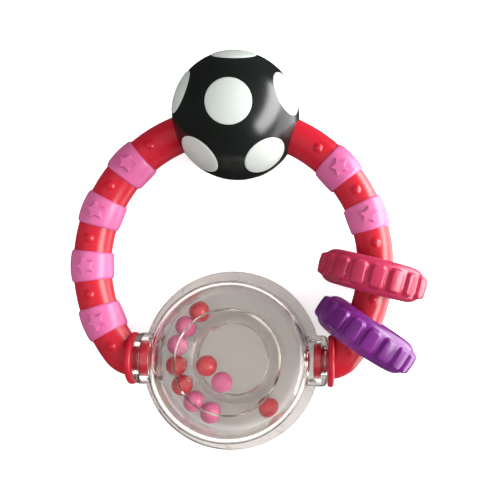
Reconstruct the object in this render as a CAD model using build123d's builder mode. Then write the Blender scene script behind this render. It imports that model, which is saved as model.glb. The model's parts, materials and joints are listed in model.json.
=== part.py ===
from build123d import *

import os
from math import asin, atan2, cos, degrees, hypot, radians, sin, sqrt

# A ring-shaped baby rattle. The handle is a red tube bent into an open ring, with a black ball closed
# around it at the top and a clear bead case turning between its two ends at the bottom.
#
# Two frames are used. The handle frame has its origin at the centre of the ring, +X right, +Y towards
# the ball and +Z out of the ring's front. The case frame has its origin at the middle of the case and
# +Z out of the case's front. At the end the finished pieces are set down in their resting pose: the
# flat back of the case and the ball lie on the surface, so the handle leans up towards the ball.
# All sizes are millimetres and all angles are degrees.

# Handle: a round tube on a circle, with an elbow at each end that turns it in towards the case
ring_radius = 50.3
tube_radius = 6.4
tube_wall = 1.6
elbow_radius = 7.0
spindle_drop = 33.6
plug_sweep = 30.0

# Stub axle on each handle end, placed along X from the middle of the case
collar_inner_face = 33.9
collar_thickness = 2.2
collar_radius = 9.15
collar_rounding = 0.9
shaft_radius = 4.5
head_outer_face = 31.5
head_thickness = 2.6
head_radius = 6.2
head_rounding = 0.5

# Small raised dots and soft grip bands, which share one even spacing along each arm
first_bump_angle = 54.6
bump_pitch = 22.35
bumps_per_arm = 5
bump_radius = 1.6
bump_height = 0.65
bands_on_left_arm = 4
bands_on_right_arm = 2
band_span = 11.9
band_sections = 5
band_edge_radius = 6.8
band_middle_radius = 7.35
band_bore_gap = 0.02
star_points = 5
star_outer_radius = 2.9
star_inner_radius = 1.6
star_rounding = 0.3
star_height = 0.55

# Ball: two half shells with a web inside that holds the tube, and inlaid discs
ball_rise = 52.8
ball_radius = 22.4
ball_wall = 2.5
ball_web_thickness = 2.0
web_bite = 0.6
seat_half_span = 40.0
tube_seat_gap = 0.02
disc_half_angle = 20.0
disc_depth = 1.2
disc_stand = 0.2
disc_gap = 0.02
discs_around = 5
first_disc_azimuth = 18.0
disc_polar_angle = 63.435

# Case: two identical dished shells with a flange, half necks, and pegs that fit the other shell's sockets
case_half_thickness = 14.5
case_wall = 1.4
case_radius = 27.6
shoulder_radius = 5.2
flange_radius = 31.3
flange_thickness = 1.6
flange_rounding = 0.5
dish_top_radius = 17.2
dish_floor_radius = 12.8
dish_depth = 8.2
dish_rounding = 1.6
dish_floor_rounding = 1.4
room_rim_rounding = 1.0
room_floor_rounding = 1.2
neck_radius = 9.0
neck_root = 24.0
neck_reach = 33.7
neck_rounding = 1.6
lip_thickness = 2.0
pocket_end = 27.0
pocket_radius = 6.5
shaft_gap = 0.06
peg_count = 10
peg_circle = 29.3
first_peg_angle = 18.0
peg_radius = 1.1
peg_length = 1.2
peg_gap = 0.06
boss_radius = 1.6
boss_height = 0.5

# Beads: eight in the outer channel, and two on the raised floor in the middle, as (radius, angle)
bead_radius = 3.75
bead_gap = 0.15
channel_circle = 22.1
first_bead_angle = 129.4
bead_step = 19.6
beads_in_row = 7
stray_bead_angle = 305.3
middle_beads = [(9.5, 195.0), (8.9, 246.0)]

# Toothed rings
gear_radius = 18.0
gear_bore_radius = 12.4
gear_half_width = 6.0
gear_outer_rounding = 4.4
gear_bore_rounding = 1.6
tooth_count = 18
tooth_tip_radius = 19.4
tooth_root_radius = 16.5
tooth_length = 7.0
tooth_width = 4.3
tooth_corner = 1.3
tooth_edge = 0.9
gear_floor_gap = 0.05

# Where each toothed ring hangs on the tube: the distance and angle of its middle from the ring centre,
# and the direction of its rim where it is furthest out, because both hang askew
coral_place = (49.0, -3.3)
coral_rim_angle = -13.5
purple_place = (52.2, -26.5)
purple_rim_angle = -32.5


# Values worked out from the sizes above
elbow_y = elbow_radius - spindle_drop
elbow_x = sqrt((ring_radius - elbow_radius) ** 2 - elbow_y**2)
elbow_start = degrees(atan2(elbow_y, elbow_x))
dish_slope = (dish_top_radius - dish_floor_radius) / dish_depth
dish_wall_shift = case_wall * (hypot(1, dish_slope) - dish_slope)
rest_radius = ball_radius + disc_stand
lean = degrees(asin((rest_radius - case_half_thickness) / (ball_rise + spindle_drop)))


def direction(angle):
    """The unit vector at this angle in the plane of the ring."""
    return Vector(cos(radians(angle)), sin(radians(angle)), 0)


def tube_section(angle):
    """The plane square to the tube at this angle, with local x pointing away from the ring centre."""
    return Plane(
        origin=direction(angle) * ring_radius,
        x_dir=direction(angle),
        z_dir=direction(angle + 90),
    )


def tube_crown(angle, side):
    """The plane on the tube's middle line at this angle that faces the front (1) or the back (-1)."""
    return Plane(
        origin=direction(angle) * ring_radius,
        x_dir=direction(angle),
        z_dir=(0, 0, side),
    )


def make_tube(radius, end_plug):
    """A bar of this radius along the open ring and its elbows, stopped short by an angle at each end."""
    with BuildPart() as bar:
        for side in (1, -1):
            start = elbow_start if side == 1 else 180 - elbow_start
            with BuildSketch(tube_section(start)):
                Circle(radius)
            revolve(
                axis=Axis((side * elbow_x, elbow_y, 0), (0, 0, -side)),
                revolution_arc=90 + elbow_start - end_plug,
            )
        with BuildSketch(tube_section(elbow_start)):
            Circle(radius)
        revolve(axis=Axis.Z, revolution_arc=180 - 2 * elbow_start)
    return bar.part


def make_axle():
    """The collar, shaft and head on the right-hand end of the handle."""
    axle_plane = Plane(origin=(0, -spindle_drop, 0), x_dir=(0, 1, 0), z_dir=(1, 0, 0))
    with BuildPart() as axle:
        with BuildSketch(axle_plane.offset(head_outer_face - head_thickness)):
            Circle(head_radius)
        extrude(amount=head_thickness)
        fillet(axle.edges(), radius=head_rounding)
        with BuildSketch(axle_plane.offset(head_outer_face)):
            Circle(shaft_radius)
        extrude(amount=collar_inner_face - head_outer_face)
    with BuildPart() as collar:
        with BuildSketch(axle_plane.offset(collar_inner_face)):
            Circle(collar_radius)
        extrude(amount=collar_thickness)
        fillet(collar.edges(), radius=collar_rounding)
        add(axle.part)
    return collar.part


def make_handle():
    """The whole handle: hollow tube, raised dots on both faces, and an axle at each end."""
    bump_sphere = (bump_radius**2 + bump_height**2) / (2 * bump_height)
    bump_centre = tube_radius + bump_height - bump_sphere
    right_angles = [first_bump_angle - step * bump_pitch for step in range(bumps_per_arm)]
    with BuildPart() as handle:
        add(make_tube(tube_radius, 0))
        for angle in right_angles + [180 - angle for angle in right_angles]:
            crowns = [tube_crown(angle, side).offset(bump_centre) for side in (1, -1)]
            with Locations(*crowns):
                Sphere(bump_sphere)
        add(make_tube(tube_radius - tube_wall, plug_sweep), mode=Mode.SUBTRACT)
        add(make_axle())
        add(mirror(make_axle(), about=Plane.YZ, mode=Mode.PRIVATE))
    return handle.part


def make_half(whole, keep):
    """The front or back half of a piece that parts in the plane of the ring."""
    with BuildPart() as half:
        add(whole)
        split(bisect_by=Plane.XY, keep=keep)
    return half


def make_sleeve(angle, middle_radius, edge_radius):
    """A solid barrel around the tube, centred at this angle, thickest in its middle."""
    with BuildPart() as sleeve:
        for section in range(band_sections):
            share = 2 * section / (band_sections - 1) - 1
            with BuildSketch(tube_section(angle + share * band_span / 2)):
                Circle(middle_radius - (middle_radius - edge_radius) * share**2)
        loft()
    return sleeve.part


def make_stars(angle):
    """A raised star on the front and back of the band, one point of each away from the ring centre."""
    corners = []
    for corner in range(2 * star_points):
        radius = star_outer_radius if corner % 2 == 0 else star_inner_radius
        turn = radians(corner * 180 / star_points)
        corners.append((radius * cos(turn), radius * sin(turn)))
    with BuildPart() as stars:
        with BuildSketch(tube_crown(angle, 1), tube_crown(angle, -1)) as star:
            with BuildLine():
                Polyline(*corners, close=True)
            make_face()
            fillet(star.vertices(), radius=star_rounding)
        extrude(amount=band_middle_radius + 2 * star_height)
        add(
            make_sleeve(angle, band_middle_radius + star_height, band_edge_radius + star_height),
            mode=Mode.INTERSECT,
        )
    return stars.part


def make_band(angle):
    """One soft grip band: a barrel-shaped sleeve that fits the tube, with a star on each face."""
    with BuildPart() as band:
        add(make_sleeve(angle, band_middle_radius, band_edge_radius))
        add(make_stars(angle))
        with BuildSketch(tube_section(angle - band_span)):
            Circle(tube_radius + band_bore_gap)
        revolve(axis=Axis.Z, revolution_arc=2 * band_span, mode=Mode.SUBTRACT)
    return band


def disc_plane(polar, azimuth):
    """The plane at the ball's middle with its local y along a disc's own axis."""
    flat = direction(azimuth) * sin(radians(polar))
    axis = Vector(flat.X, flat.Y, cos(radians(polar)))
    across = direction(azimuth + 90)
    return Plane(origin=(0, ball_rise, 0), x_dir=across, z_dir=across.cross(axis))


def make_disc(plane, gap, stand):
    """An inlaid disc, or with a gap the pocket that it sits in, turned about its plane's local y."""
    half_width = ball_radius * sin(radians(disc_half_angle)) + gap
    floor_radius = ball_radius - disc_depth - gap
    top_radius = ball_radius + stand
    with BuildPart() as disc:
        with BuildSketch(plane) as profile:
            with BuildLine():
                floor_edge = (half_width, sqrt(floor_radius**2 - half_width**2))
                top_edge = (half_width, sqrt(top_radius**2 - half_width**2))
                floor = RadiusArc((0, floor_radius), floor_edge, floor_radius)
                Line(floor @ 1, top_edge)
                top = RadiusArc((0, top_radius), top_edge, top_radius)
                Line(top @ 0, floor @ 0)
            make_face()
        revolve(axis=Axis(plane.origin, plane.y_dir))
    return disc


def disc_places():
    """The planes of the six discs on the front half: one at its middle and five around it."""
    step = 360 / discs_around
    around = [disc_plane(disc_polar_angle, first_disc_azimuth + n * step) for n in range(discs_around)]
    return [disc_plane(0, 0)] + around


def make_front_ball():
    """The front half of the ball: shell, web, seat for the tube and pockets for the discs."""
    middle = Vector(0, ball_rise, 0)
    inner_radius = ball_radius - ball_wall
    with BuildPart() as ball:
        with BuildSketch(Plane(origin=middle, x_dir=(1, 0, 0), z_dir=(0, -1, 0))):
            with BuildLine():
                outside = RadiusArc((ball_radius, 0), (0, ball_radius), -ball_radius)
                top = Line(outside @ 1, (0, inner_radius))
                inside = RadiusArc(top @ 1, (inner_radius, 0), inner_radius)
                Line(inside @ 1, outside @ 0)
            make_face()
        revolve(axis=Axis(middle, (0, 0, 1)))
        with BuildSketch(Plane(origin=middle, x_dir=(0, 1, 0), z_dir=(1, 0, 0))):
            Circle(inner_radius + web_bite)
        extrude(amount=ball_web_thickness / 2, both=True)
        split(bisect_by=Plane.XY, keep=Keep.TOP)
        with BuildSketch(tube_section(90 - seat_half_span)):
            Circle(tube_radius + tube_seat_gap)
        revolve(axis=Axis.Z, revolution_arc=2 * seat_half_span, mode=Mode.SUBTRACT)
        for place in disc_places():
            add(make_disc(place, disc_gap, 2 * disc_stand).part, mode=Mode.SUBTRACT)
    return ball


def neck_planes(distance):
    """The two planes square to the case's necks at this distance from its middle, facing outward."""
    return [Plane(origin=(side * distance, 0, 0), x_dir=(0, 1, 0), z_dir=(side, 0, 0)) for side in (1, -1)]


def make_front_case():
    """The front shell of the case, in the case frame."""
    floor_height = case_half_thickness - dish_depth
    with BuildPart() as void:
        with BuildSketch(Plane.XZ) as room:
            with BuildLine():
                Polyline(
                    (0, -case_wall),
                    (case_radius - case_wall, -case_wall),
                    (case_radius - case_wall, case_half_thickness - case_wall),
                    (dish_top_radius + dish_wall_shift, case_half_thickness - case_wall),
                    (dish_floor_radius + dish_wall_shift, floor_height - case_wall),
                    (0, floor_height - case_wall),
                    close=True,
                )
            make_face()
            room_rim = room.vertices().group_by(Axis.Y)[-1].sort_by(Axis.X)
            room_floor = room.vertices().group_by(Axis.Y)[-2].sort_by(Axis.X)
            fillet(room_rim[-1], radius=shoulder_radius - case_wall)
            fillet(room_rim[0], radius=room_rim_rounding)
            fillet(room_floor[-1], radius=room_floor_rounding)
        revolve(axis=Axis.Z)
    with BuildPart() as shell:
        with BuildSketch(Plane.XZ) as wall:
            with BuildLine():
                Polyline(
                    (0, 0),
                    (case_radius, 0),
                    (case_radius, case_half_thickness),
                    (dish_top_radius, case_half_thickness),
                    (dish_floor_radius, floor_height),
                    (0, floor_height),
                    close=True,
                )
            make_face()
            dish_rim = wall.vertices().group_by(Axis.Y)[-1].sort_by(Axis.X)
            dish_floor = wall.vertices().group_by(Axis.Y)[-2].sort_by(Axis.X)
            fillet(dish_rim[-1], radius=shoulder_radius)
            fillet(dish_rim[0], radius=dish_rounding)
            fillet(dish_floor[-1], radius=dish_floor_rounding)
        revolve(axis=Axis.Z)
        with BuildSketch(*neck_planes(neck_root)):
            Circle(neck_radius)
        extrude(amount=neck_reach - neck_root)
        fillet(shell.edges().group_by(Axis.X)[0] + shell.edges().group_by(Axis.X)[-1], radius=neck_rounding)
        with BuildSketch(Plane.XZ) as flange:
            with BuildLine():
                Polyline(
                    (0, 0),
                    (flange_radius, 0),
                    (flange_radius, flange_thickness),
                    (0, flange_thickness),
                    close=True,
                )
            make_face()
            fillet(flange.vertices().group_by(Axis.Y)[-1].sort_by(Axis.X)[-1], radius=flange_rounding)
        revolve(axis=Axis.Z)
        with BuildSketch(Plane.XY.offset(flange_thickness)):
            with PolarLocations(peg_circle, peg_count, start_angle=first_peg_angle):
                Circle(boss_radius)
        extrude(amount=boss_height)
        split(bisect_by=Plane.XY, keep=Keep.TOP)
        add(void.part, mode=Mode.SUBTRACT)
        with BuildSketch(*neck_planes(pocket_end)):
            Circle(pocket_radius)
        extrude(amount=neck_reach - lip_thickness - pocket_end, mode=Mode.SUBTRACT)
        with BuildSketch(*neck_planes(pocket_end)):
            Circle(shaft_radius + shaft_gap)
        extrude(amount=neck_reach, mode=Mode.SUBTRACT)
        with BuildSketch(Plane.XY):
            with PolarLocations(peg_circle, peg_count // 2, start_angle=first_peg_angle):
                Circle(peg_radius)
        extrude(amount=-peg_length)
        with BuildSketch(Plane.XY):
            with PolarLocations(peg_circle, peg_count // 2, start_angle=3 * first_peg_angle):
                Circle(peg_radius + peg_gap)
        extrude(amount=peg_length + 2 * peg_gap, mode=Mode.SUBTRACT)
    return shell


def make_bead(radius, angle, height):
    """One bead, in the case frame."""
    with BuildPart() as bead:
        with Locations(direction(angle) * radius + Vector(0, 0, height)):
            Sphere(bead_radius)
    return bead


def make_gear():
    """A toothed ring, turned about its own Z axis."""
    with BuildPart() as tooth:
        with BuildSketch(Plane.YZ.offset(tooth_root_radius)):
            RectangleRounded(tooth_width, tooth_length, tooth_corner)
        extrude(amount=tooth_tip_radius - tooth_root_radius)
        fillet(tooth.faces().sort_by(Axis.X)[-1].edges(), radius=tooth_edge)
    with BuildPart() as gear:
        with BuildSketch(Plane.XZ) as profile:
            with Locations(((gear_radius + gear_bore_radius) / 2, 0)):
                Rectangle(gear_radius - gear_bore_radius, 2 * gear_half_width)
            corners = profile.vertices().sort_by(Axis.X)
            fillet(corners[:2], radius=gear_bore_rounding)
            fillet(corners[2:], radius=gear_outer_rounding)
        revolve(axis=Axis.Z)
        with PolarLocations(0, tooth_count):
            add(tooth.part)
    return gear


def handle_pose():
    """Where the handle frame stands when the case lies flat and the ball touches the surface."""
    rise = case_half_thickness + spindle_drop * sin(radians(lean))
    return Location((0, spindle_drop * cos(radians(lean)), rise), (lean, 0, 0))


def gear_pose(place, rim_angle):
    """Where a toothed ring stands: upright on the surface, with the tube passing through its bore."""
    radius, angle = place
    middle = direction(angle) * radius
    reach = tooth_tip_radius * cos(radians(lean)) + tooth_length / 2 * sin(radians(lean)) + gear_floor_gap
    tube_height = case_half_thickness + (spindle_drop + middle.Y) * sin(radians(lean))
    lift = (reach - tube_height) / cos(radians(lean))
    stand = Plane(origin=(middle.X, middle.Y, lift), x_dir=(0, 0, 1), z_dir=direction(rim_angle + 90))
    return handle_pose() * stand.location


pieces = {}
case_pose = Location((0, 0, case_half_thickness))

handle_front = make_half(make_handle(), Keep.TOP)
pieces["handle_front_shell"] = (handle_front, handle_pose())
handle_rear = make_half(make_handle(), Keep.BOTTOM)
pieces["handle_rear_shell"] = (handle_rear, handle_pose())

band_angles = [180 - first_bump_angle + (n + 0.5) * bump_pitch for n in range(bands_on_left_arm)]
band_angles += [first_bump_angle - (n + 0.5) * bump_pitch for n in range(bands_on_right_arm)]
for number, angle in enumerate(band_angles, start=1):
    pieces[f"grip_band_{number}"] = (make_band(angle), handle_pose())

back_to_back = Location((0, 0, 0), (0, 180, 0))
pieces["ball_front_shell"] = (make_front_ball(), handle_pose())
pieces["ball_rear_shell"] = (make_front_ball(), handle_pose() * back_to_back)
for number, place in enumerate(disc_places(), start=1):
    for name, turn in (("front", Location()), ("rear", back_to_back)):
        disc = make_disc(place, 0, disc_stand)
        pieces[f"ball_disc_{name}_{number}"] = (disc, handle_pose() * turn)

pieces["case_front_shell"] = (make_front_case(), case_pose)
pieces["case_rear_shell"] = (make_front_case(), case_pose * Location((0, 0, 0), (180, 0, 0)))

channel_height = -case_half_thickness + case_wall + bead_radius + bead_gap
middle_height = -case_half_thickness + dish_depth + case_wall + bead_radius + bead_gap
channel_angles = [first_bead_angle + n * bead_step for n in range(beads_in_row)] + [stray_bead_angle]
beads = [(channel_circle, angle, channel_height) for angle in channel_angles]
beads += [(radius, angle, middle_height) for radius, angle in middle_beads]
for number, (radius, angle, height) in enumerate(beads, start=1):
    pieces[f"bead_{number}"] = (make_bead(radius, angle, height), case_pose)

pieces["coral_gear_ring"] = (make_gear(), gear_pose(coral_place, coral_rim_angle))
pieces["purple_gear_ring"] = (make_gear(), gear_pose(purple_place, purple_rim_angle))

# Set every piece down in its resting pose, then shift them all so that the origin is on the surface,
# under the middle of the whole rattle
for piece, pose in pieces.values():
    piece.part = pose * piece.part
boxes = [piece.part.bounding_box() for piece, pose in pieces.values()]
middle_x = (min(box.min.X for box in boxes) + max(box.max.X for box in boxes)) / 2
middle_y = (min(box.min.Y for box in boxes) + max(box.max.Y for box in boxes)) / 2
home = Location((-middle_x, -middle_y, -min(box.min.Z for box in boxes)))

os.makedirs("parts", exist_ok=True)
for label, (piece, pose) in pieces.items():
    piece.part = home * piece.part
    piece.part.label = label
    export_step(piece.part, f"parts/{label}.step")
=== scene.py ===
import json
from math import asin, atan2, cos, pi, radians, sin, sqrt

import bmesh
import bpy
import numpy as np
from mathutils import Matrix, Quaternion, Vector


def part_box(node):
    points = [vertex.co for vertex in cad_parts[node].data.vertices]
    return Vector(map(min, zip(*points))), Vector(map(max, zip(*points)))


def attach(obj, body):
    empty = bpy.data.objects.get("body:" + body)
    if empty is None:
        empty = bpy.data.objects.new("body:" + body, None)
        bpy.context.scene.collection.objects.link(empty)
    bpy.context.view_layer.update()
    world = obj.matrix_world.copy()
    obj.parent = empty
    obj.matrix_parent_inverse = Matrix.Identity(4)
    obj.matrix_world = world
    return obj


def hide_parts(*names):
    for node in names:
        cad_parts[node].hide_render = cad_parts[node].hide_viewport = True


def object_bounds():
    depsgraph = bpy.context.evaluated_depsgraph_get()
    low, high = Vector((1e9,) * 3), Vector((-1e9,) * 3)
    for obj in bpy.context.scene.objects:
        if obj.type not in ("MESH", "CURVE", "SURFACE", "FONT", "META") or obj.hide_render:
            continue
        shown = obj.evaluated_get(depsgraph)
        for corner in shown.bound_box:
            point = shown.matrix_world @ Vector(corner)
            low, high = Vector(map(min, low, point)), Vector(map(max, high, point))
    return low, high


# Baby rattle: a red ring handle with soft grip bands, a dotted ball, a clear case of beads that turns
# between the handle's ends, and two loose toothed rings. Shapes are made in millimetres, in the frame of
# the handle's ring or of the piece itself, and are placed in metres in the row frame. The ring's frame has
# its origin in the middle of the ring, Z out of its front face and Y towards the ball.

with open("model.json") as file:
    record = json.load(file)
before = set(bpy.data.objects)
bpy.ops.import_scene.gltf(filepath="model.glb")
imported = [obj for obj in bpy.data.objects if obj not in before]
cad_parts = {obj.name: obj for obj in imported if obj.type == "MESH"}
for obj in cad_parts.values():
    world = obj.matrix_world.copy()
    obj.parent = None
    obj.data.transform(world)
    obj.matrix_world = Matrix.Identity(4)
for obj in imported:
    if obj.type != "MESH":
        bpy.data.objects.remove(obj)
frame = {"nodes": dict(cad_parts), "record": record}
cad_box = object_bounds()
record = frame["record"]
scene = bpy.context.scene

MM = 0.001

# Handle, its axles measured along the line that the case turns about
RING_RADIUS = 50.3
TUBE_RADIUS = 6.4
TUBE_WALL = 1.6
ELBOW_RADIUS = 7.0
SPINDLE_DROP = 33.6
COLLAR_FACE = 33.9
COLLAR_THICKNESS = 2.2
COLLAR_RADIUS = 9.15
COLLAR_ROUNDING = 0.95
COLLAR_FOOT = 0.6
SHAFT_RADIUS = 4.5
SHAFT_ROUNDING = 0.1
HEAD_FACE = 31.5
HEAD_THICKNESS = 2.6
HEAD_RADIUS = 6.2
HEAD_ROUNDING = 0.5
SEAM_DEPTH = 0.12
SEAM_WIDTH = 0.22

# Raised dots on the handle, placed by angle around the ring
DOT_RADIUS = 1.6
DOT_HEIGHT = 0.65
DOT_REACH = 1.4 * DOT_RADIUS
DOT_BLEND = 0.12
FIRST_DOT = 54.6
DOT_PITCH = 22.35
DOTS_PER_ARM = 5

# Grip bands, barrel-shaped, and the stars raised on them
BAND_SPAN = 11.9
BAND_EDGE = 7.0
BAND_MIDDLE = 7.35
BAND_BORE = 6.42
BAND_EDGE_REACH = 1.1
BAND_EDGE_DROP = 0.52
BANDS_LEFT = 4
BANDS_RIGHT = 2
STAR_RADIUS = 3.3
STAR_NOTCH = 0.55
STAR_HEIGHT = 1.15
STAR_EDGE_HEIGHT = 0.75 * STAR_HEIGHT
STAR_TOP = BAND_MIDDLE + 0.80
STAR_FOOT = 0.10
STAR_SLOPE = 0.34

# Ball and its inlaid discs
BALL_RISE = 52.8
BALL_RADIUS = 22.4
BALL_WALL = 2.5
DISC_HALF_ANGLE = 20.0
DISC_DEPTH = 1.2
DISC_STAND = 0.2
DISC_BEVEL = 0.32
DISC_BEVEL_ANGLE = 0.9
DISCS_AROUND = 5
DISC_AZIMUTH = 18.0
DISC_POLAR = 63.435

# Toothed rings
GEAR_RADIUS = 18.0
GEAR_BORE = 12.4
GEAR_HALF_WIDTH = 6.0
GEAR_ROUNDING = 4.4
GEAR_BORE_ROUNDING = 1.6
GEAR_RIM_DEPTH = 1.2
TOOTH_COUNT = 18
TOOTH_TIP = 19.4
TOOTH_LENGTH = 7.0
TOOTH_WIDTH = 4.3
TOOTH_CORNER = 1.3
TOOTH_FOOT = 0.85
TOOTH_SLOPE = 1.15
TOOTH_CROWN_ALONG = 0.022
TOOTH_CROWN_ACROSS = 0.035
CORAL_RIM_ANGLE = -13.5
PURPLE_RIM_ANGLE = -32.5

# Beads
BEAD_SEAM_DEPTH = 0.035
BEAD_SEAM_DEGREES = 1.1
BEAD_GATE_DEPTH = 0.03
BEAD_GATE_DEGREES = 9
BEAD_TURN = 2.4
CHANNEL_BEADS = 8

# Clear case
PARTING_GAP = 0.04
PARTING_TOLERANCE = 0.002

# Finish of moulded plastic, as noise cells for each millimetre and the depth of its relief
STREAKS = 0.05
SMUDGES = 0.35
RIPPLES = 0.22
GRAIN = 6.0
RELIEF_DEPTH = 0.35
RELIEF_STRENGTH = 0.5
SHEEN_ROUGHNESS = 0.3

# Clear plastic
CLEAR_IOR = 1.33
CLEAR_SMUDGES = 0.4
CLEAR_GLOSS = 0.03
CLEAR_DEPTH_COLOUR = (0.80, 0.77, 0.72)
CLEAR_DEPTH_DENSITY = 50

# Floor and the world's light
FLOOR_HALF_SIZE = 3.0
FLOOR_LEVEL = -0.05
FLOOR_GLOW = 0.48
WALL_LIGHT = 0.023
CEILING_LIGHT = 0.005
CEILING_HEIGHT = 0.9
BACKDROP_LIGHT = 0.75
CLEAR_LIGHT = 0.40

# Camera: the point of the ring's plane that it faces and its height over it, the width of that plane in
# view, its roll in degrees and the shift that frames the rattle
CAMERA_FOOT = (27.5, 1.45)
CAMERA_HEIGHT = 214.0
CAMERA_WIDTH = 178.0
CAMERA_ROLL = 0.95
CAMERA_SHIFT = (-0.1225, 0.0245)
SENSOR_WIDTH = 36.0

# Light paths: clear plastic reflects inside itself many times
BOUNCES = 32


# ---------------------------------------------------------------- frames


def joint(name):
    """The record's joint of this name."""
    return next(j for j in record["behaviour"]["joints"] if j["name"] == name)


def axes(origin, z_axis, x_axis):
    """The matrix of a frame with this origin and Z, and its X as near as can be to this one."""
    z = Vector(z_axis).normalized()
    x = Vector(x_axis)
    x = (x - z * x.dot(z)).normalized()
    matrix = Matrix((x, z.cross(x), z)).transposed().to_4x4()
    matrix.translation = Vector(origin)
    return matrix


def pose(origin, z_axis, x_axis):
    """The matrix from millimetres in a local frame to metres in the row frame."""
    return axes(origin, z_axis, x_axis) @ Matrix.Scale(MM, 4)


def in_ring(origin, z_axis, x_axis):
    """The same for a frame that is placed in the ring's frame, in millimetres."""
    return ring_pose @ axes(origin, z_axis, x_axis)


def box_middle(node):
    """The middle of a CAD node's box, in the row frame."""
    low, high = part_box(node)
    return (Vector(low) + Vector(high)) / 2


def direction(degrees):
    """The unit vector at this angle in the plane of the ring."""
    return np.array((cos(radians(degrees)), sin(radians(degrees)), 0.0))


slide = joint("coral_ring_slide")
ring_pose = pose(slide["pos_m"], slide["axis"], (1, 0, 0))


# ---------------------------------------------------------------- mesh helpers


def smoothstep(x):
    x = np.clip(x, 0.0, 1.0)
    return x * x * (3 - 2 * x)


def place(points, matrix):
    """Points of any grid shape, taken through a 4 by 4 matrix."""
    m = np.array(matrix)
    return points @ m[:3, :3].T + m[:3, 3]


def surface(name, points, matrix, wrap_rows=False, caps=False, smooth_angle=35):
    """A mesh object from a grid of points whose rows are closed loops, its ends joined or capped."""
    rows, columns = points.shape[:2]
    index = np.arange(rows * columns).reshape(rows, columns)
    if wrap_rows:
        index = np.vstack((index, index[:1]))
    index = np.hstack((index, index[:, :1]))
    quads = np.stack((index[:-1, :-1], index[:-1, 1:], index[1:, 1:], index[1:, :-1]), axis=-1)
    faces = quads.reshape(-1, 4).tolist()
    if caps:
        faces.append(index[0, :columns].tolist())
        faces.append(index[-1, :columns].tolist())
    mesh = bpy.data.meshes.new(name)
    mesh.from_pydata(place(points.reshape(-1, 3), matrix).tolist(), [], faces)
    work = bmesh.new()
    work.from_mesh(mesh)
    bmesh.ops.remove_doubles(work, verts=work.verts, dist=1e-7)
    bmesh.ops.recalc_face_normals(work, faces=work.faces)
    work.to_mesh(mesh)
    work.free()
    mesh.shade_smooth()
    mesh.set_sharp_from_angle(angle=radians(smooth_angle))
    return add_object(name, mesh)


def add_object(name, data):
    """A new object in the scene."""
    item = bpy.data.objects.new(name, data)
    scene.collection.objects.link(item)
    return item


def rounded(corners, step=0.15):
    """A closed outline with rounded corners, from (x, y, radius), with points about a step apart."""
    points = []
    count = len(corners)
    for i in range(count):
        before, here, after = (np.array(corners[(i + k) % count][:2]) for k in (-1, 0, 1))
        radius = corners[i][2]
        to_before = (before - here) / np.linalg.norm(before - here)
        to_after = (after - here) / np.linalg.norm(after - here)
        half = np.arccos(np.clip(to_before @ to_after, -1, 1)) / 2
        if radius == 0 or pi / 2 - half < 1e-3:
            points.append(here)
            continue
        bisector = (to_before + to_after) / np.linalg.norm(to_before + to_after)
        centre = here + bisector * radius / np.sin(half)
        start = here + to_before * radius / np.tan(half) - centre
        end = here + to_after * radius / np.tan(half) - centre
        turn = np.arctan2(start[0] * end[1] - start[1] * end[0], start @ end)
        steps = max(3, int(abs(turn) * radius / step))
        for k in range(steps + 1):
            a = turn * k / steps
            points.append(centre + np.array((
                start[0] * cos(a) - start[1] * sin(a),
                start[0] * sin(a) + start[1] * cos(a),
            )))
    return np.array(points)


def filled(points, step):
    """An outline with extra points, so that none are further apart than a step."""
    out = []
    for a, b in zip(points[:-1], points[1:]):
        pieces = max(1, int(np.ceil(np.linalg.norm(b - a) / step)))
        out.extend(a + (b - a) * k / pieces for k in range(pieces))
    out.append(points[-1])
    return np.array(out)


def arc(radius, start, end, count):
    """Points (across, up) on a circle about the origin, angles measured from the axis."""
    a = np.radians(np.linspace(start, end, count))
    return np.stack((radius * np.sin(a), radius * np.cos(a)), axis=-1)


def lathe(name, profile, matrix, steps, closed=False):
    """A body of revolution about local Z from (radius, height) points."""
    turn = np.linspace(0, 2 * pi, steps, endpoint=False)
    points = np.empty((len(profile), steps, 3))
    points[:, :, 0] = profile[:, :1] * np.cos(turn)
    points[:, :, 1] = profile[:, :1] * np.sin(turn)
    points[:, :, 2] = profile[:, 1:2]
    return surface(name, points, matrix, wrap_rows=closed)


def finish_piece(piece, body, material, nodes=()):
    """Gives a piece its material, its body and the CAD nodes that it stands for."""
    piece.data.materials.append(material)
    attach(piece, body)
    if nodes:
        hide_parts(*nodes)


# ---------------------------------------------------------------- materials


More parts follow.
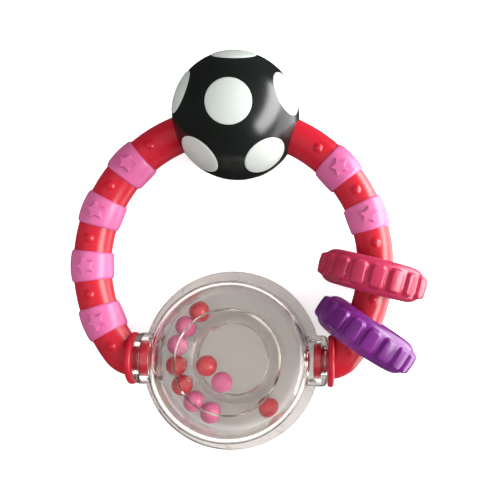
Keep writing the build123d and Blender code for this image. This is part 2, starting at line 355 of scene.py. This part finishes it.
class Nodes:
    """Short calls for building one material's node tree."""

    def __init__(self, name):
        self.material = bpy.data.materials.new(name)
        self.material.use_nodes = True
        self.tree = self.material.node_tree
        self.shader = self.tree.nodes["Principled BSDF"]
        self.output = self.tree.nodes["Material Output"]
        self.place = self.add("ShaderNodeTexCoord").outputs["Object"]

    def add(self, kind, **settings):
        node = self.tree.nodes.new(kind)
        for key, value in settings.items():
            setattr(node, key, value)
        return node

    def link(self, source, target):
        self.tree.links.new(source, target)

    def set(self, **values):
        """Sets the shader's sockets, spaces in their names written as underscores."""
        for key, value in values.items():
            self.shader.inputs[key.replace("_", " ")].default_value = value

    def noise(self, per_mm, detail=2.0, roughness=0.5):
        node = self.add("ShaderNodeTexNoise")
        self.link(self.place, node.inputs["Vector"])
        node.inputs["Scale"].default_value = per_mm / MM
        node.inputs["Detail"].default_value = detail
        node.inputs["Roughness"].default_value = roughness
        return node.outputs["Fac"]

    def spread(self, source, low, high, start=0.0, end=1.0):
        """Maps a noise, from its start to its end, onto a range."""
        node = self.add("ShaderNodeMapRange")
        self.link(source, node.inputs["Value"])
        for key, value in (("From Min", start), ("From Max", end), ("To Min", low), ("To Max", high)):
            node.inputs[key].default_value = value
        return node.outputs["Result"]

    def mix(self, factor, a, b):
        node = self.add("ShaderNodeMix", data_type="RGBA")
        self.link(factor, node.inputs["Factor"])
        node.inputs[6].default_value = (*a, 1)
        node.inputs[7].default_value = (*b, 1)
        return node.outputs[2]

    def bump(self, height, strength, distance_mm):
        node = self.add("ShaderNodeBump")
        self.link(height, node.inputs["Height"])
        node.inputs["Strength"].default_value = strength
        node.inputs["Distance"].default_value = distance_mm * MM
        self.link(node.outputs["Normal"], self.shader.inputs["Normal"])


def moulded(name, light, dark, gloss, specular=0.5, coat=0.0, sheen=0.0, inner_glow=0.0,
            glow_mm=(1.0, 0.5, 0.5), ripple=0.05, grain=0.0):
    """Moulded plastic: faint flow marks in its colour, uneven gloss, slight ripples and a fine grain."""
    n = Nodes(name)
    n.link(n.mix(n.spread(n.noise(STREAKS), 0, 1, 0.3, 0.7), dark, light), n.shader.inputs["Base Color"])
    n.link(n.spread(n.noise(SMUDGES, 3), gloss * 0.97, gloss * 1.17), n.shader.inputs["Roughness"])
    n.set(Specular_IOR_Level=specular, Coat_Weight=coat, Coat_Roughness=gloss * 0.6,
          Subsurface_Weight=inner_glow, Subsurface_Radius=glow_mm, Subsurface_Scale=MM,
          Sheen_Weight=sheen, Sheen_Roughness=SHEEN_ROUGHNESS, Sheen_Tint=(*light, 1))
    height = n.add("ShaderNodeMath", operation="ADD")
    n.link(n.spread(n.noise(RIPPLES), 0, ripple * 2), height.inputs[0])
    n.link(n.spread(n.noise(GRAIN), 0, grain * 2), height.inputs[1])
    n.bump(height.outputs[0], RELIEF_STRENGTH, RELIEF_DEPTH)
    return n.material


def clear_plastic(name, tint):
    """Clear moulded plastic that lets the lamps through to what it holds."""
    n = Nodes(name)
    n.set(Base_Color=(*tint, 1), Transmission_Weight=1.0, IOR=CLEAR_IOR)
    smudges = n.noise(CLEAR_SMUDGES, 4, 0.6)
    n.link(n.spread(smudges, CLEAR_GLOSS * 0.5, CLEAR_GLOSS * 1.5, 0.3, 0.7), n.shader.inputs["Roughness"])
    open_way = n.add("ShaderNodeBsdfTransparent")
    open_way.inputs["Color"].default_value = (*tint, 1)
    path = n.add("ShaderNodeLightPath")
    choice = n.add("ShaderNodeMixShader")
    n.link(path.outputs["Is Shadow Ray"], choice.inputs["Fac"])
    n.link(n.shader.outputs[0], choice.inputs[1])
    n.link(open_way.outputs[0], choice.inputs[2])
    n.link(choice.outputs[0], n.output.inputs["Surface"])
    depth = n.add("ShaderNodeVolumeAbsorption")
    depth.inputs["Color"].default_value = (*CLEAR_DEPTH_COLOUR, 1)
    depth.inputs["Density"].default_value = CLEAR_DEPTH_DENSITY
    n.link(depth.outputs[0], n.output.inputs["Volume"])
    return n.material


red = moulded(
    "red_plastic", light=(0.44, 0.009, 0.024), dark=(0.36, 0.006, 0.017), gloss=0.29, specular=0.45,
    inner_glow=0.10, glow_mm=(2.0, 0.4, 0.3))
pink_grip = moulded(
    "pink_soft_grip", light=(0.55, 0.122, 0.29), dark=(0.44, 0.080, 0.21), gloss=0.34,
    inner_glow=0.15, glow_mm=(1.5, 0.6, 1.0), grain=0.05)
black = moulded(
    "black_plastic", light=(0.010, 0.012, 0.011), dark=(0.006, 0.007, 0.006), gloss=0.22, specular=0.45)
white = moulded(
    "white_plastic", light=(0.475, 0.51, 0.475), dark=(0.45, 0.48, 0.45), gloss=0.30,
    inner_glow=0.08, glow_mm=(0.8, 0.8, 0.8))
coral = moulded(
    "coral_soft_plastic", light=(0.41, 0.026, 0.078), dark=(0.33, 0.015, 0.048), gloss=0.29, sheen=0.35,
    inner_glow=0.22, glow_mm=(2.5, 0.8, 1.0), grain=0.05)
purple = moulded(
    "purple_soft_plastic", light=(0.17, 0.018, 0.19), dark=(0.075, 0.007, 0.10), gloss=0.29, sheen=0.3,
    inner_glow=0.22, glow_mm=(1.6, 0.5, 1.6), grain=0.05)
bead_red = moulded(
    "red_bead_plastic", light=(0.52, 0.032, 0.045), dark=(0.44, 0.020, 0.031), gloss=0.23, coat=0.1,
    inner_glow=0.1)
bead_pink = moulded(
    "pink_bead_plastic", light=(0.60, 0.125, 0.28), dark=(0.52, 0.095, 0.23), gloss=0.23, coat=0.1,
    inner_glow=0.1)
clear = clear_plastic("clear_plastic", (0.80, 0.79, 0.77))
# The rear half is the same clear plastic with a darker tint: painted shade that greys the beads and floor
# seen through the case
clear_rear_painted_shade = clear_plastic("clear_plastic_rear_painted_shade", (0.56, 0.532, 0.520))


# ---------------------------------------------------------------- handle


def tube_stations(step=0.42):
    """Stations along the tube, as (centre x, centre y, bend radius, angle), from the right end round."""
    elbow_y = ELBOW_RADIUS - SPINDLE_DROP
    elbow_x = sqrt((RING_RADIUS - ELBOW_RADIUS) ** 2 - elbow_y**2)
    elbow_start = atan2(elbow_y, elbow_x)
    stations = []
    arcs = (
        (elbow_x, elbow_y, ELBOW_RADIUS, -pi / 2, elbow_start),
        (0.0, 0.0, RING_RADIUS, elbow_start, pi - elbow_start),
        (-elbow_x, elbow_y, ELBOW_RADIUS, pi - elbow_start, 3 * pi / 2),
    )
    for x, y, radius, start, end in arcs:
        outer = radius + TUBE_RADIUS
        count = int((end - start) * outer / step)
        for k in range(count + (x < 0)):
            stations.append((x, y, radius, start + (end - start) * k / count))
    return np.array(stations)


def dot_places(side):
    """The middles of the raised dots on one face of the tube, on the tube's surface."""
    right = [FIRST_DOT - k * DOT_PITCH for k in range(DOTS_PER_ARM)]
    for angle in right + [180 - a for a in right]:
        yield direction(angle) * RING_RADIUS + np.array((0, 0, side * TUBE_RADIUS))


def dot_lift(skin, dot, side):
    """How far each point of the tube's skin rises for one dot: a cap of a sphere, blended into the tube."""
    sphere = (DOT_RADIUS**2 + DOT_HEIGHT**2) / (2 * DOT_HEIGHT)
    far = np.linalg.norm((skin - dot)[:, :, :2], axis=-1)
    cap = np.sqrt(np.maximum(sphere**2 - far**2, 0)) - (sphere - DOT_HEIGHT)
    lift = np.where((far < DOT_REACH) & (skin[:, :, 2] * side > 0), cap, -1.0)
    lift = 0.5 * (lift + np.sqrt(lift**2 + DOT_BLEND**2)) - 0.5 * (np.sqrt(1 + DOT_BLEND**2) - 1)
    return np.where(far < DOT_REACH, np.maximum(lift, 0), 0)


def make_handle_shell(name, side):
    """Half of the tube, front (1) or back (-1), with its raised dots and a fine seam at the parting."""
    stations = tube_stations()
    near_parting = np.array((0, 0.8, 1.6, 2.6, 4.0))
    around = np.radians(np.concatenate((near_parting, np.linspace(6, 174, 72), 180 - near_parting[::-1])))
    to_parting = TUBE_RADIUS * np.minimum(around, pi - around)
    outer = TUBE_RADIUS - SEAM_DEPTH * np.exp(-((to_parting / SEAM_WIDTH) ** 2))
    inner_around = np.radians(np.linspace(180, 0, 25))
    section_angle = np.concatenate((around, inner_around))
    section_radius = np.concatenate((outer, np.full(len(inner_around), TUBE_RADIUS - TUBE_WALL)))
    centre = np.stack((stations[:, 0], stations[:, 1], np.zeros(len(stations))), axis=-1)
    out = np.stack((np.cos(stations[:, 3]), np.sin(stations[:, 3]), np.zeros(len(stations))), axis=-1)
    up = np.array((0.0, 0.0, side))
    ray = out[:, None, :] * np.cos(section_angle)[None, :, None]
    ray = ray + up * np.sin(section_angle)[None, :, None]
    middle = centre + out * stations[:, 2:3]
    points = middle[:, None, :] + ray * section_radius[None, :, None]
    skin = points[:, : len(around)]
    for dot in dot_places(side):
        skin += ray[:, : len(around)] * dot_lift(skin, dot, side)[:, :, None]
    return surface(name, points, ring_pose, caps=True)


def make_axle(name, side):
    """Collar, shaft and head at one end of the handle."""
    collar_back = COLLAR_FACE + COLLAR_THICKNESS
    corners = [
        (0, HEAD_FACE - HEAD_THICKNESS, 0),
        (HEAD_RADIUS, HEAD_FACE - HEAD_THICKNESS, HEAD_ROUNDING),
        (HEAD_RADIUS, HEAD_FACE, HEAD_ROUNDING),
        (SHAFT_RADIUS, HEAD_FACE, SHAFT_ROUNDING),
        (SHAFT_RADIUS, COLLAR_FACE, SHAFT_ROUNDING),
        (COLLAR_RADIUS, COLLAR_FACE, COLLAR_ROUNDING),
        (COLLAR_RADIUS, collar_back, COLLAR_ROUNDING),
        (TUBE_RADIUS + COLLAR_FOOT, collar_back, SHAFT_ROUNDING),
        (0, collar_back, 0),
    ]
    matrix = in_ring((0, -SPINDLE_DROP, 0), (side, 0, 0), (0, 1, 0))
    return lathe(name, rounded(corners), matrix, steps=160, closed=True)


for side, word in ((1, "front"), (-1, "rear")):
    shell = make_handle_shell(f"handle_{word}", side)
    finish_piece(shell, "handle", red, [f"handle_{word}_shell"])
for side, word in ((1, "right"), (-1, "left")):
    finish_piece(make_axle(f"axle_{word}", side), "handle", red)


# ---------------------------------------------------------------- grip bands


def star_distance(x, y):
    """Distance inside a five-pointed star with one point along +x: 0 on its edge, positive inside."""
    turn = np.arctan2(y, x)
    fold = np.abs((turn + pi / 5) % (2 * pi / 5) - pi / 5)
    far = np.hypot(x, y)
    px, py = far * np.cos(fold), far * np.sin(fold)
    tip = np.array((STAR_RADIUS, 0.0))
    notch = STAR_RADIUS * STAR_NOTCH * np.array((cos(pi / 5), sin(pi / 5)))
    along = (notch - tip) / np.linalg.norm(notch - tip)
    return (py - tip[1]) * along[0] - (px - tip[0]) * along[1]


def make_band(name, angle, steps=288, bore_rows=9):
    """A barrel-shaped soft sleeve with a raised star on each face."""
    half = radians(BAND_SPAN / 2)
    ends = np.array((0.0, 0.006, 0.015, 0.03))
    share = np.concatenate((ends - 1, np.linspace(-0.95, 0.95, 81), (1 - ends)[::-1]))
    barrel = BAND_MIDDLE - (BAND_MIDDLE - BAND_EDGE) * share**2
    to_edge = (1 - np.abs(share)) * half * RING_RADIUS
    fall = 1 - np.clip(to_edge / BAND_EDGE_REACH, 0, 1)
    barrel = barrel - BAND_EDGE_DROP * (1 - np.sqrt(1 - fall**2))
    rows_share = np.concatenate((share, np.linspace(1, -1, bore_rows)))
    rows_radius = np.concatenate((barrel, np.full(bore_rows, BAND_BORE)))
    around = np.linspace(0, 2 * pi, steps, endpoint=False)
    theta = radians(angle) + rows_share * half
    out = np.stack((np.cos(theta), np.sin(theta), np.zeros_like(theta)), axis=-1)
    up = np.array((0.0, 0.0, 1.0))
    ray = out[:, None, :] * np.cos(around)[None, :, None] + up * np.sin(around)[None, :, None]
    radius = np.repeat(rows_radius[:, None], steps, axis=1)
    outward = RING_RADIUS * out[:, None, :] + ray * radius[:, :, None]
    along_tube = outward @ direction(angle + 90)
    across = outward @ direction(angle) - RING_RADIUS
    # The star's top is between a flat one and one that follows the barrel, on the faces of the ring only
    face = np.abs(np.sin(around))[None, :]
    flat_top = STAR_TOP / np.maximum(face, 0.3)
    crest = np.minimum(radius + STAR_HEIGHT, 0.5 * (flat_top + radius + STAR_EDGE_HEIGHT))
    rise = smoothstep((star_distance(across, along_tube) + STAR_FOOT) / STAR_SLOPE)
    outer = np.zeros_like(radius, dtype=bool)
    outer[: len(share)] = True
    radius = np.where(outer & (face > 0.5), radius + (np.maximum(crest, radius) - radius) * rise, radius)
    points = RING_RADIUS * out[:, None, :] + ray * radius[:, :, None]
    return surface(name, points, ring_pose, wrap_rows=True, smooth_angle=50)


band_angles = [180 - FIRST_DOT + (k + 0.5) * DOT_PITCH for k in range(BANDS_LEFT)]
band_angles += [FIRST_DOT - (k + 0.5) * DOT_PITCH for k in range(BANDS_RIGHT)]
for number, angle in enumerate(band_angles, start=1):
    band = make_band(f"grip_{number}", angle)
    finish_piece(band, "handle", pink_grip, [f"grip_band_{number}"])


# ---------------------------------------------------------------- ball


def make_ball_shell(name, side):
    """Half of the hollow ball, with a rounded lip where the halves meet."""
    lip = np.array(((BALL_RADIUS - 0.04, 0.16), (BALL_RADIUS - 0.12, 0.07), (BALL_RADIUS - 0.22, 0.0)))
    inner_radius = BALL_RADIUS - BALL_WALL
    profile = np.concatenate((
        arc(BALL_RADIUS, 0, 89.0, 90), lip, np.array(((inner_radius, 0.0),)), arc(inner_radius, 88, 0, 40),
    ))
    return lathe(name, profile, in_ring((0, BALL_RISE, 0), (0, 0, side), (1, 0, 0)), steps=192)


def make_disc(name, axis, side):
    """An inlaid disc of the ball, standing slightly proud with a softened rim."""
    rim_radius = BALL_RADIUS * sin(radians(DISC_HALF_ANGLE))
    top = BALL_RADIUS + DISC_STAND
    floor = BALL_RADIUS - DISC_DEPTH
    reach = np.degrees(asin(rim_radius / top))
    rim_height = sqrt(top**2 - rim_radius**2) - 0.02
    bevel = [(rim_radius - DISC_BEVEL * (1 - sin(a)), rim_height - DISC_BEVEL * 0.75 * (1 - cos(a)))
             for a in np.radians((35, 60, 80, 90))]
    under = [(rim_radius, sqrt(floor**2 - rim_radius**2))]
    profile = np.concatenate((
        arc(top, 0, reach - DISC_BEVEL_ANGLE, 22), bevel, under, arc(floor, DISC_HALF_ANGLE, 0, 6),
    ))
    turned = (axis[0] * side, axis[1], axis[2] * side)
    across = (0, 1, 0) if abs(turned[1]) < 0.9 else (1, 0, 0)
    return lathe(name, profile, in_ring((0, BALL_RISE, 0), turned, across), steps=96)


disc_axes = [(0.0, 0.0, 1.0)]
for k in range(DISCS_AROUND):
    azimuth = radians(DISC_AZIMUTH + 360 / DISCS_AROUND * k)
    polar = radians(DISC_POLAR)
    disc_axes.append((sin(polar) * cos(azimuth), sin(polar) * sin(azimuth), cos(polar)))
for side, word in ((1, "front"), (-1, "rear")):
    shell = make_ball_shell(f"ball_{word}", side)
    finish_piece(shell, "handle", black, [f"ball_{word}_shell"])
    for number, axis in enumerate(disc_axes, start=1):
        disc = make_disc(f"disc_{word}_{number}", axis, side)
        finish_piece(disc, "handle", white, [f"ball_disc_{word}_{number}"])


# ---------------------------------------------------------------- toothed rings


def make_gear(name, matrix, steps_per_tooth=32):
    """A toothed ring of soft plastic, its teeth low rounded blocks."""
    outline = rounded([
        (GEAR_BORE, -GEAR_HALF_WIDTH, GEAR_BORE_ROUNDING),
        (GEAR_RADIUS, -GEAR_HALF_WIDTH, GEAR_ROUNDING),
        (GEAR_RADIUS, GEAR_HALF_WIDTH, GEAR_ROUNDING),
        (GEAR_BORE, GEAR_HALF_WIDTH, GEAR_BORE_ROUNDING),
    ], step=0.2)
    outline = filled(np.vstack((outline, outline[:1])), 0.22)[:-1]
    steps = TOOTH_COUNT * steps_per_tooth
    turn = np.arange(steps) / steps * 2 * pi
    tangent = ((turn + pi / TOOTH_COUNT) % (2 * pi / TOOTH_COUNT) - pi / TOOTH_COUNT) * TOOTH_TIP
    # The distance outside a rectangle with rounded corners, over which the teeth fall to the rim
    qx = np.abs(tangent)[None, :] - (TOOTH_WIDTH / 2 - TOOTH_CORNER)
    qy = np.abs(outline[:, 1])[:, None] - (TOOTH_LENGTH / 2 - TOOTH_CORNER)
    outside = np.hypot(np.maximum(qx, 0), np.maximum(qy, 0)) + np.minimum(np.maximum(qx, qy), 0)
    outside = outside - TOOTH_CORNER
    rise = smoothstep((TOOTH_FOOT - outside) / TOOTH_SLOPE)
    radius = np.repeat(outline[:, :1], steps, axis=1)
    on_rim = radius > GEAR_RADIUS - GEAR_RIM_DEPTH
    crown = TOOTH_TIP - TOOTH_CROWN_ALONG * outline[:, 1:2] ** 2 - TOOTH_CROWN_ACROSS * tangent[None, :] ** 2
    radius = np.where(on_rim, radius + np.maximum(crown - radius, 0) * rise, radius)
    points = np.empty((len(outline), steps, 3))
    points[:, :, 0] = radius * np.cos(turn)
    points[:, :, 1] = radius * np.sin(turn)
    points[:, :, 2] = outline[:, 1:2]
    return surface(name, points, matrix, wrap_rows=True, smooth_angle=60)


for word, rim_angle, paint in (("coral", CORAL_RIM_ANGLE, coral), ("purple", PURPLE_RIM_ANGLE, purple)):
    node = f"{word}_gear_ring"
    axis = ring_pose.to_3x3() @ Vector(direction(rim_angle + 90))
    top = ring_pose.to_3x3() @ Vector((0, 0, 1))
    gear = make_gear(f"{word}_ring", pose(box_middle(node), axis, top))
    finish_piece(gear, f"{word}_ring", paint, [node])


# ---------------------------------------------------------------- beads


def make_bead(name, node, tilt):
    """A round bead with a fine parting line and a small gate mark."""
    low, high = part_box(node)
    radius = (high[0] - low[0]) / 2 / MM
    degrees = np.concatenate((np.linspace(0, 86, 30), (88, 89.2, 90, 90.8, 92), np.linspace(94, 180, 30)))
    seam = BEAD_SEAM_DEPTH * np.exp(-(((degrees - 90) / BEAD_SEAM_DEGREES) ** 2))
    gate = BEAD_GATE_DEPTH * np.exp(-((degrees / BEAD_GATE_DEGREES) ** 4))
    size = radius - seam - gate
    profile = np.stack((size * np.sin(np.radians(degrees)), size * np.cos(np.radians(degrees))), axis=-1)
    axis = (cos(tilt) * 0.8, sin(tilt) * 0.8, 0.6)
    return lathe(name, profile, pose(box_middle(node), axis, (0, 0, 1)), steps=72)


for subpart in record["subparts"]:
    node = subpart["node"]
    if not node.startswith("bead_"):
        continue
    number = int(node.split("_")[1])
    slot = subpart["material_slot"]
    paint = bead_red if slot.startswith("red") else bead_pink
    body = "middle_beads" if number > CHANNEL_BEADS else "channel_beads"
    finish_piece(make_bead(f"round_{node}", node, number * BEAD_TURN), body, paint, [node])


# ---------------------------------------------------------------- case


def make_case_shell(name, node, side):
    """The CAD shell's own mesh, drawn back a hair from the parting, so that the clear halves stay apart."""
    mesh = frame["nodes"][node].data.copy()
    mesh.name = name
    mesh.materials.clear()
    parting = joint("case_spin")["pos_m"][2]
    for vertex in mesh.vertices:
        if abs(vertex.co.z - parting) < PARTING_TOLERANCE * MM:
            vertex.co.z += side * PARTING_GAP * MM / 2
    return add_object(name, mesh)


# The rear shell takes the darker tint, which is painted shade
for side, word, paint in ((1, "front", clear), (-1, "rear", clear_rear_painted_shade)):
    node = f"case_{word}_shell"
    finish_piece(make_case_shell(f"case_{word}", node, side), "case", paint, [node])


# ---------------------------------------------------------------- floor, light and camera


def make_floor():
    """A plain pale floor, larger than any view of the rattle."""
    mesh = bpy.data.meshes.new("floor")
    corners = [(x * FLOOR_HALF_SIZE, y * FLOOR_HALF_SIZE, FLOOR_LEVEL * MM)
               for x, y in ((-1, -1), (1, -1), (1, 1), (-1, 1))]
    mesh.from_pydata(corners, [], [(0, 1, 2, 3)])
    floor = add_object("floor", mesh)
    n = Nodes("pale_floor")
    n.link(n.mix(n.noise(0.01), (0.90, 0.90, 0.90), (0.92, 0.92, 0.92)), n.shader.inputs["Base Color"])
    n.set(Roughness=0.9, Specular_IOR_Level=0.1, Emission_Color=(1, 1, 1, 1), Emission_Strength=FLOOR_GLOW)
    mesh.materials.append(n.material)
    floor.visible_glossy = False


def add_softbox(name, position, size, power, tilt=0.0, in_gloss=True):
    """A softbox of this size, in metres and watts, that faces the rattle, tilted about the way it faces."""
    lamp = bpy.data.lights.new(name, "AREA")
    lamp.shape = "RECTANGLE"
    lamp.size, lamp.size_y = size
    lamp.energy = power
    box = add_object(name, lamp)
    box.location = position
    target = (Vector(cad_box[0]) + Vector(cad_box[1])) / 2
    facing = (target - Vector(position)).to_track_quat("-Z", "Y")
    box.rotation_euler = (facing @ Quaternion((0, 0, 1), radians(tilt))).to_euler()
    box.visible_glossy = in_gloss


def add_world():
    """A pale backdrop, seen directly and through clear plastic, that adds little light of its own."""
    world = bpy.data.worlds.new("studio")
    world.use_nodes = True
    tree = world.node_tree
    place = tree.nodes.new("ShaderNodeTexCoord")
    parts = tree.nodes.new("ShaderNodeSeparateXYZ")
    light = tree.nodes.new("ShaderNodeMapRange")
    tree.links.new(place.outputs["Generated"], parts.inputs[0])
    tree.links.new(parts.outputs["Z"], light.inputs["Value"])
    light.inputs["From Max"].default_value = CEILING_HEIGHT
    light.inputs["To Min"].default_value = WALL_LIGHT
    light.inputs["To Max"].default_value = CEILING_LIGHT
    path = tree.nodes.new("ShaderNodeLightPath")
    for ray, strength in (("Is Camera Ray", BACKDROP_LIGHT), ("Is Transmission Ray", CLEAR_LIGHT)):
        more = tree.nodes.new("ShaderNodeMath")
        more.operation = "MULTIPLY_ADD"
        tree.links.new(path.outputs[ray], more.inputs[0])
        more.inputs[1].default_value = strength
        tree.links.new(light.outputs[0], more.inputs[2])
        light = more
    background = tree.nodes["Background"]
    background.inputs["Color"].default_value = (1, 1, 1, 1)
    tree.links.new(light.outputs[0], background.inputs["Strength"])
    scene.world = world


def add_camera():
    """The photograph's view: straight at the ring's plane, from beside its middle, framed by a shift."""
    camera = bpy.data.cameras.new("camera")
    camera.sensor_width = SENSOR_WIDTH
    camera.lens = SENSOR_WIDTH * CAMERA_HEIGHT / CAMERA_WIDTH
    camera.shift_x, camera.shift_y = CAMERA_SHIFT
    camera.clip_start = 0.01
    camera.clip_end = 10
    eye = add_object("camera", camera)
    matrix = in_ring((*CAMERA_FOOT, CAMERA_HEIGHT), (0, 0, 1), direction(CAMERA_ROLL))
    rotation = matrix.to_3x3()
    rotation.normalize()
    eye.matrix_world = Matrix.Translation(matrix.translation) @ rotation.to_4x4()
    scene.camera = eye


make_floor()
add_softbox("key_right", (0.54, 0.08, 0.23), (1.00, 0.26), 12.0, tilt=-26)
add_softbox("table_right", (0.45, 0.0, -0.16), (0.9, 0.45), 5.0)
add_softbox("fill_left", (-0.50, -0.15, 0.40), (0.8, 0.8), 2.3, in_gloss=False)
add_softbox("overhead", (0.0, 0.0, 0.9), (1.2, 1.2), 7.8, in_gloss=False)
add_world()
scene.view_settings.view_transform = "Standard"
scene.cycles.max_bounces = BOUNCES
scene.cycles.transmission_bounces = BOUNCES
scene.cycles.glossy_bounces = BOUNCES
scene.cycles.transparent_max_bounces = BOUNCES
add_camera()
